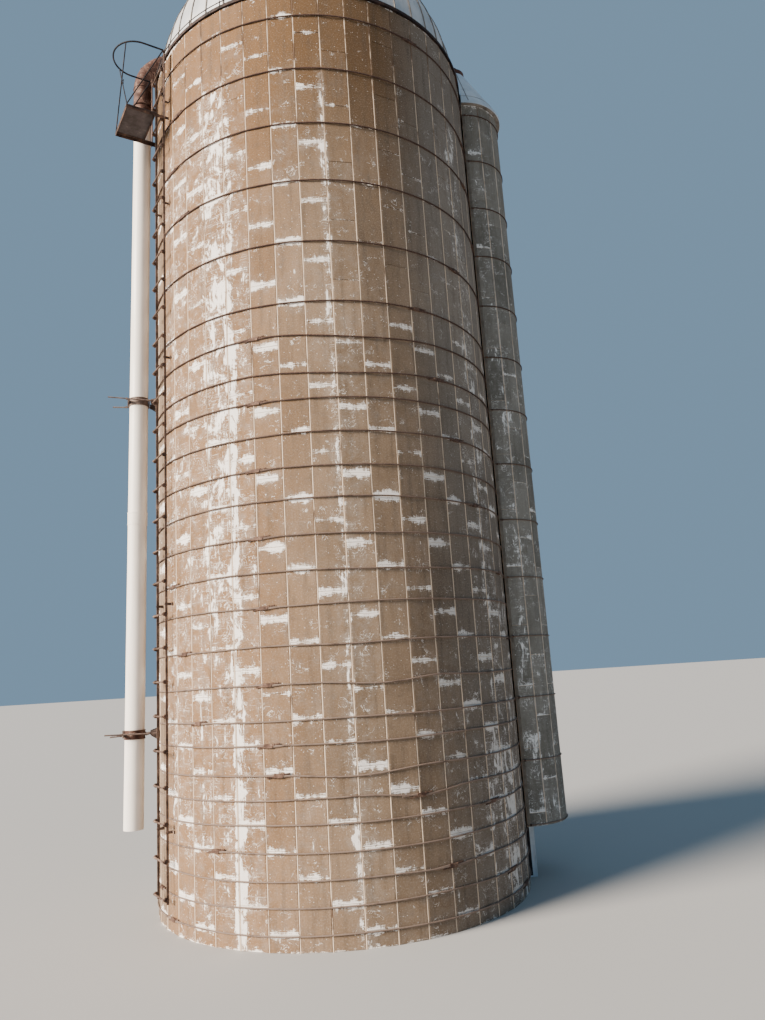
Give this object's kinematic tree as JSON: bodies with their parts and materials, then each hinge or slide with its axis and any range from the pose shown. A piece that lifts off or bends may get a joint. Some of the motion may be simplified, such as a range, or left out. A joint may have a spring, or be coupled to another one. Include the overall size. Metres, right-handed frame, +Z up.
{
  "type": "farm tower silo",
  "caption": "Round concrete-stave tower silo with steel hoops, a ribbed sheet dome, a fill pipe with platform and ladder, and a stave unloading chute on the side.",
  "frame": {"origin": "on the silo's axis at the underside of the floor, at ground level", "axes": "+Z up along the axis; -Y toward the side seen in the picture, +X toward the unloading chute, the ladder and fill pipe between -Y and -X"},
  "size_m": [5.6631, 4.533, 13.1694],
  "materials": {
    "stave_concrete": "weathered tan concrete with flaking white wash",
    "floor_concrete": "rough grey concrete",
    "galvanized_sheet": "dull galvanized sheet",
    "white_pipe": "chalky off-white plastic",
    "rust_red_steel": "red-brown rust",
    "door_wood": "bare weathered wood",
    "frame_steel": "dull blue-grey steel",
    "rusty_steel": "dark rust"
  },
  "bodies": {
    "root": {"chute_hoops": "rusty_steel", "chute_panel_1": "stave_concrete", "chute_panel_2": "stave_concrete", "chute_panel_3": "stave_concrete", "chute_panel_4": "stave_concrete", "chute_roof": "galvanized_sheet", "chute_roof_cap": "rust_red_steel", "door_frame": "frame_steel", "doors": "door_wood", "fill_pipe_1": "white_pipe", "fill_pipe_2": "white_pipe", "fill_pipe_3": "white_pipe", "fill_pipe_4": "white_pipe", "fill_pipe_5": "white_pipe", "floor_slab": "floor_concrete", "gooseneck": "rust_red_steel", "guard_rail": "rusty_steel", "hoops": "rusty_steel", "ladder": "rusty_steel", "pipe_bracket_lower": "rusty_steel", "pipe_bracket_upper": "rusty_steel", "platform_deck": "rust_red_steel", "platform_frame": "rusty_steel", "roof_cap": "galvanized_sheet", "roof_rim": "rusty_steel", "roof_sector_1": "galvanized_sheet", "roof_sector_2": "galvanized_sheet", "roof_sector_3": "galvanized_sheet", "roof_sector_4": "galvanized_sheet", "roof_sector_5": "galvanized_sheet", "roof_sector_6": "galvanized_sheet", "wall_panel_01": "stave_concrete", "wall_panel_02": "stave_concrete", "wall_panel_03": "stave_concrete", "wall_panel_04": "stave_concrete", "wall_panel_05": "stave_concrete", "wall_panel_06": "stave_concrete", "wall_panel_07": "stave_concrete", "wall_panel_08": "stave_concrete", "wall_panel_09": "stave_concrete", "wall_panel_10": "stave_concrete", "wall_panel_11": "stave_concrete", "wall_panel_12": "stave_concrete", "wall_panel_13": "stave_concrete", "wall_panel_14": "stave_concrete"}
  },
  "joints": []
}
